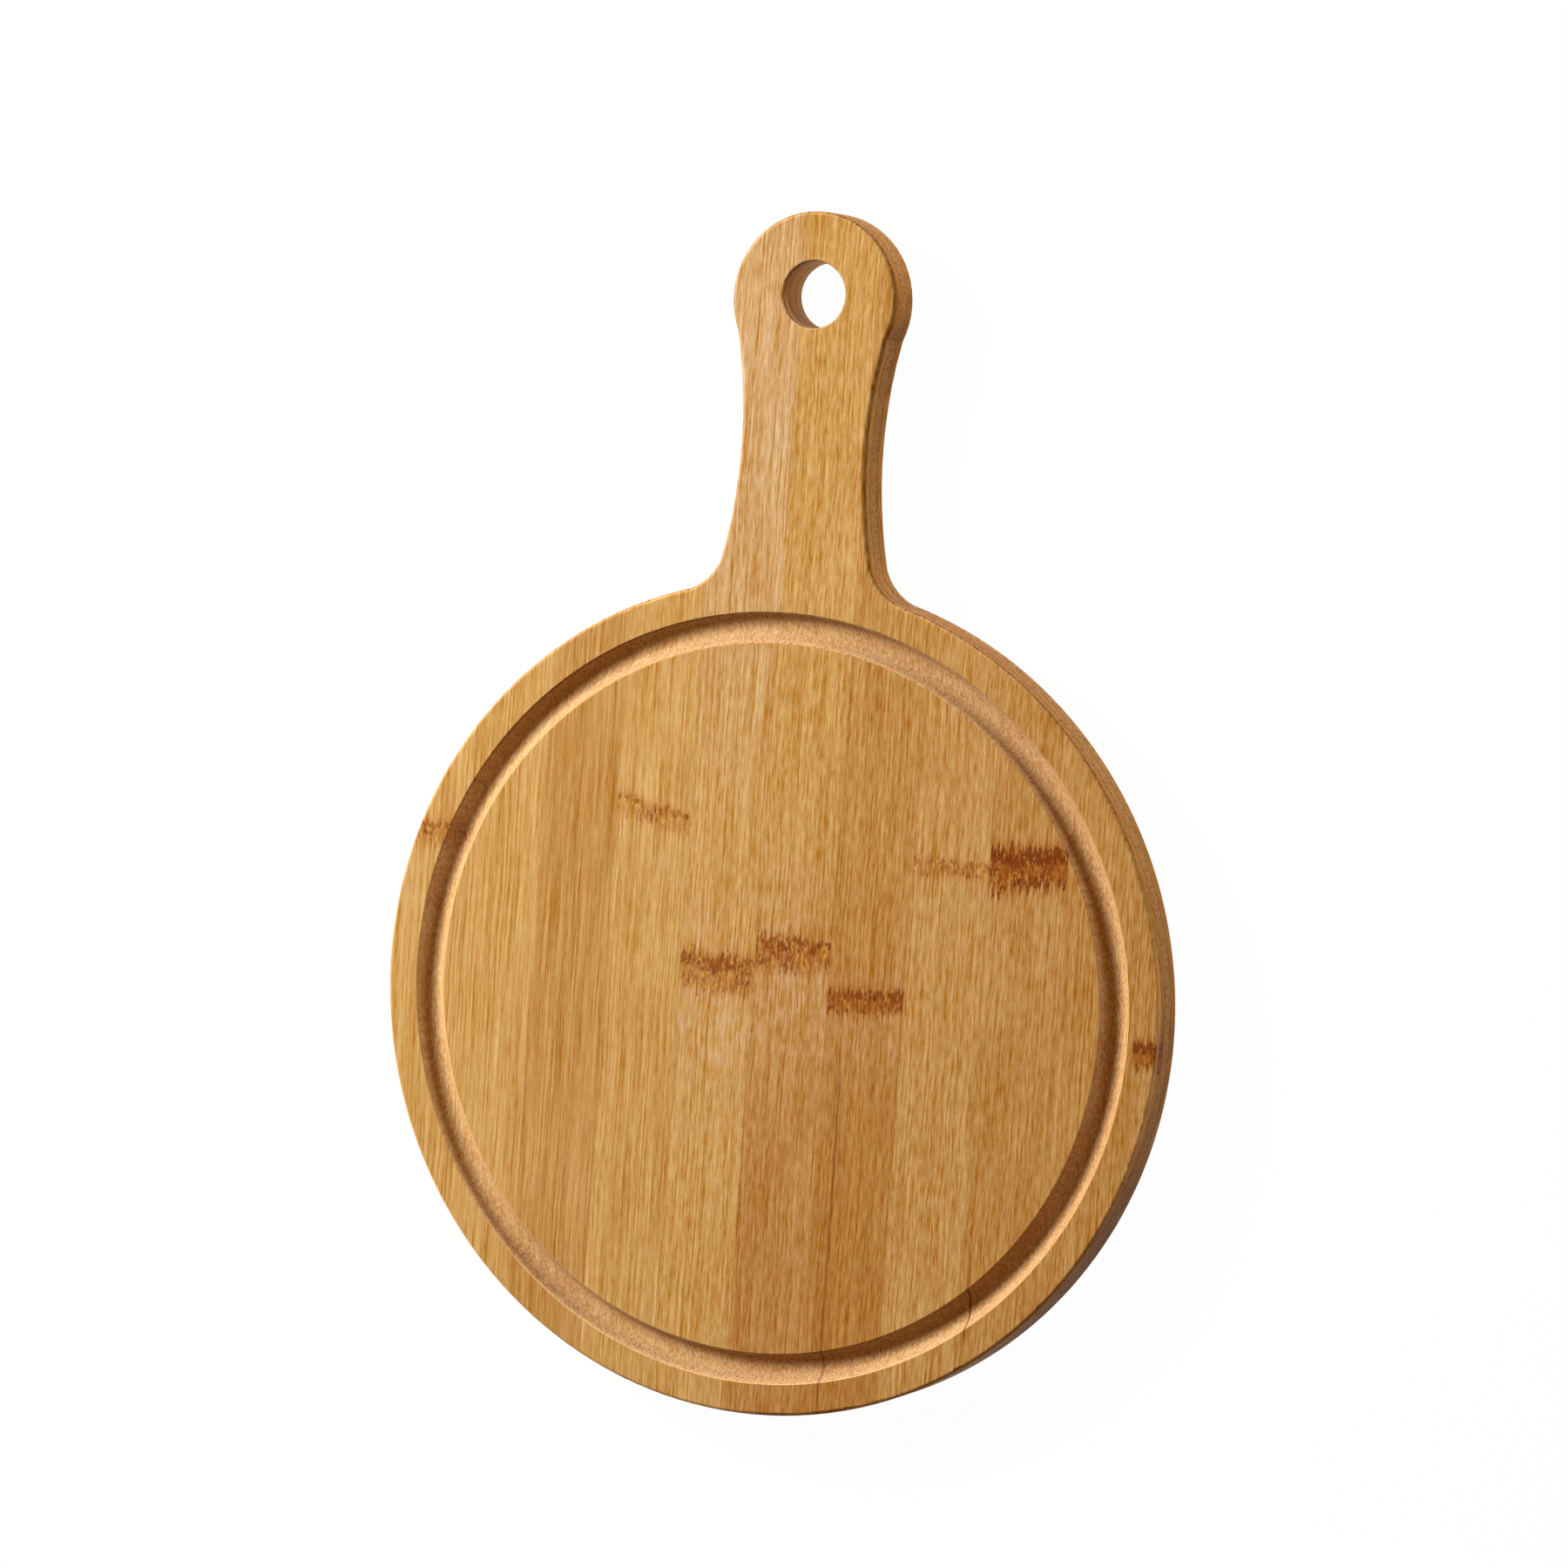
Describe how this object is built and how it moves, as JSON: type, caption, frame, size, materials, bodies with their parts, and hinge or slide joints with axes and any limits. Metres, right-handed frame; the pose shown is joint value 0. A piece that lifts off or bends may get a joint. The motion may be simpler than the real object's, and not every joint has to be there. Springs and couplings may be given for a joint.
{
  "type": "round cutting board",
  "caption": "Round three-ply bamboo cutting board with a juice groove around the face and a waisted handle with a hanging hole.",
  "frame": {"origin": "centre of the disc on the underside", "axes": "+Y along the handle, +Z out of the cutting face, +X to the right with the handle away from the viewer"},
  "size_m": [0.23, 0.3312, 0.0138],
  "materials": {
    "face_bamboo": "sanded, oiled, satin",
    "core_bamboo": "sanded end grain",
    "back_bamboo": "sanded, oiled, satin"
  },
  "bodies": {
    "root": {"face_strip_01": "face_bamboo", "face_strip_02": "face_bamboo", "face_strip_03": "face_bamboo", "face_strip_04": "face_bamboo", "face_strip_05": "face_bamboo", "face_strip_06": "face_bamboo", "face_strip_07": "face_bamboo", "face_strip_08": "face_bamboo", "face_strip_09": "face_bamboo", "face_strip_10": "face_bamboo", "face_strip_11": "face_bamboo", "face_strip_07_head_piece": "face_bamboo", "core_strip_01": "core_bamboo", "core_strip_02": "core_bamboo", "core_strip_03": "core_bamboo", "core_strip_04": "core_bamboo", "core_strip_05": "core_bamboo", "core_strip_06": "core_bamboo", "core_strip_07": "core_bamboo", "core_strip_08": "core_bamboo", "core_strip_09": "core_bamboo", "core_strip_10": "core_bamboo", "core_strip_11": "core_bamboo", "core_strip_12": "core_bamboo", "core_strip_13": "core_bamboo", "core_strip_14": "core_bamboo", "core_strip_15": "core_bamboo", "back_strip_01": "back_bamboo", "back_strip_02": "back_bamboo", "back_strip_03": "back_bamboo", "back_strip_04": "back_bamboo", "back_strip_05": "back_bamboo", "back_strip_06": "back_bamboo", "back_strip_07": "back_bamboo", "back_strip_08": "back_bamboo", "back_strip_09": "back_bamboo", "back_strip_10": "back_bamboo", "back_strip_11": "back_bamboo"}
  },
  "joints": []
}
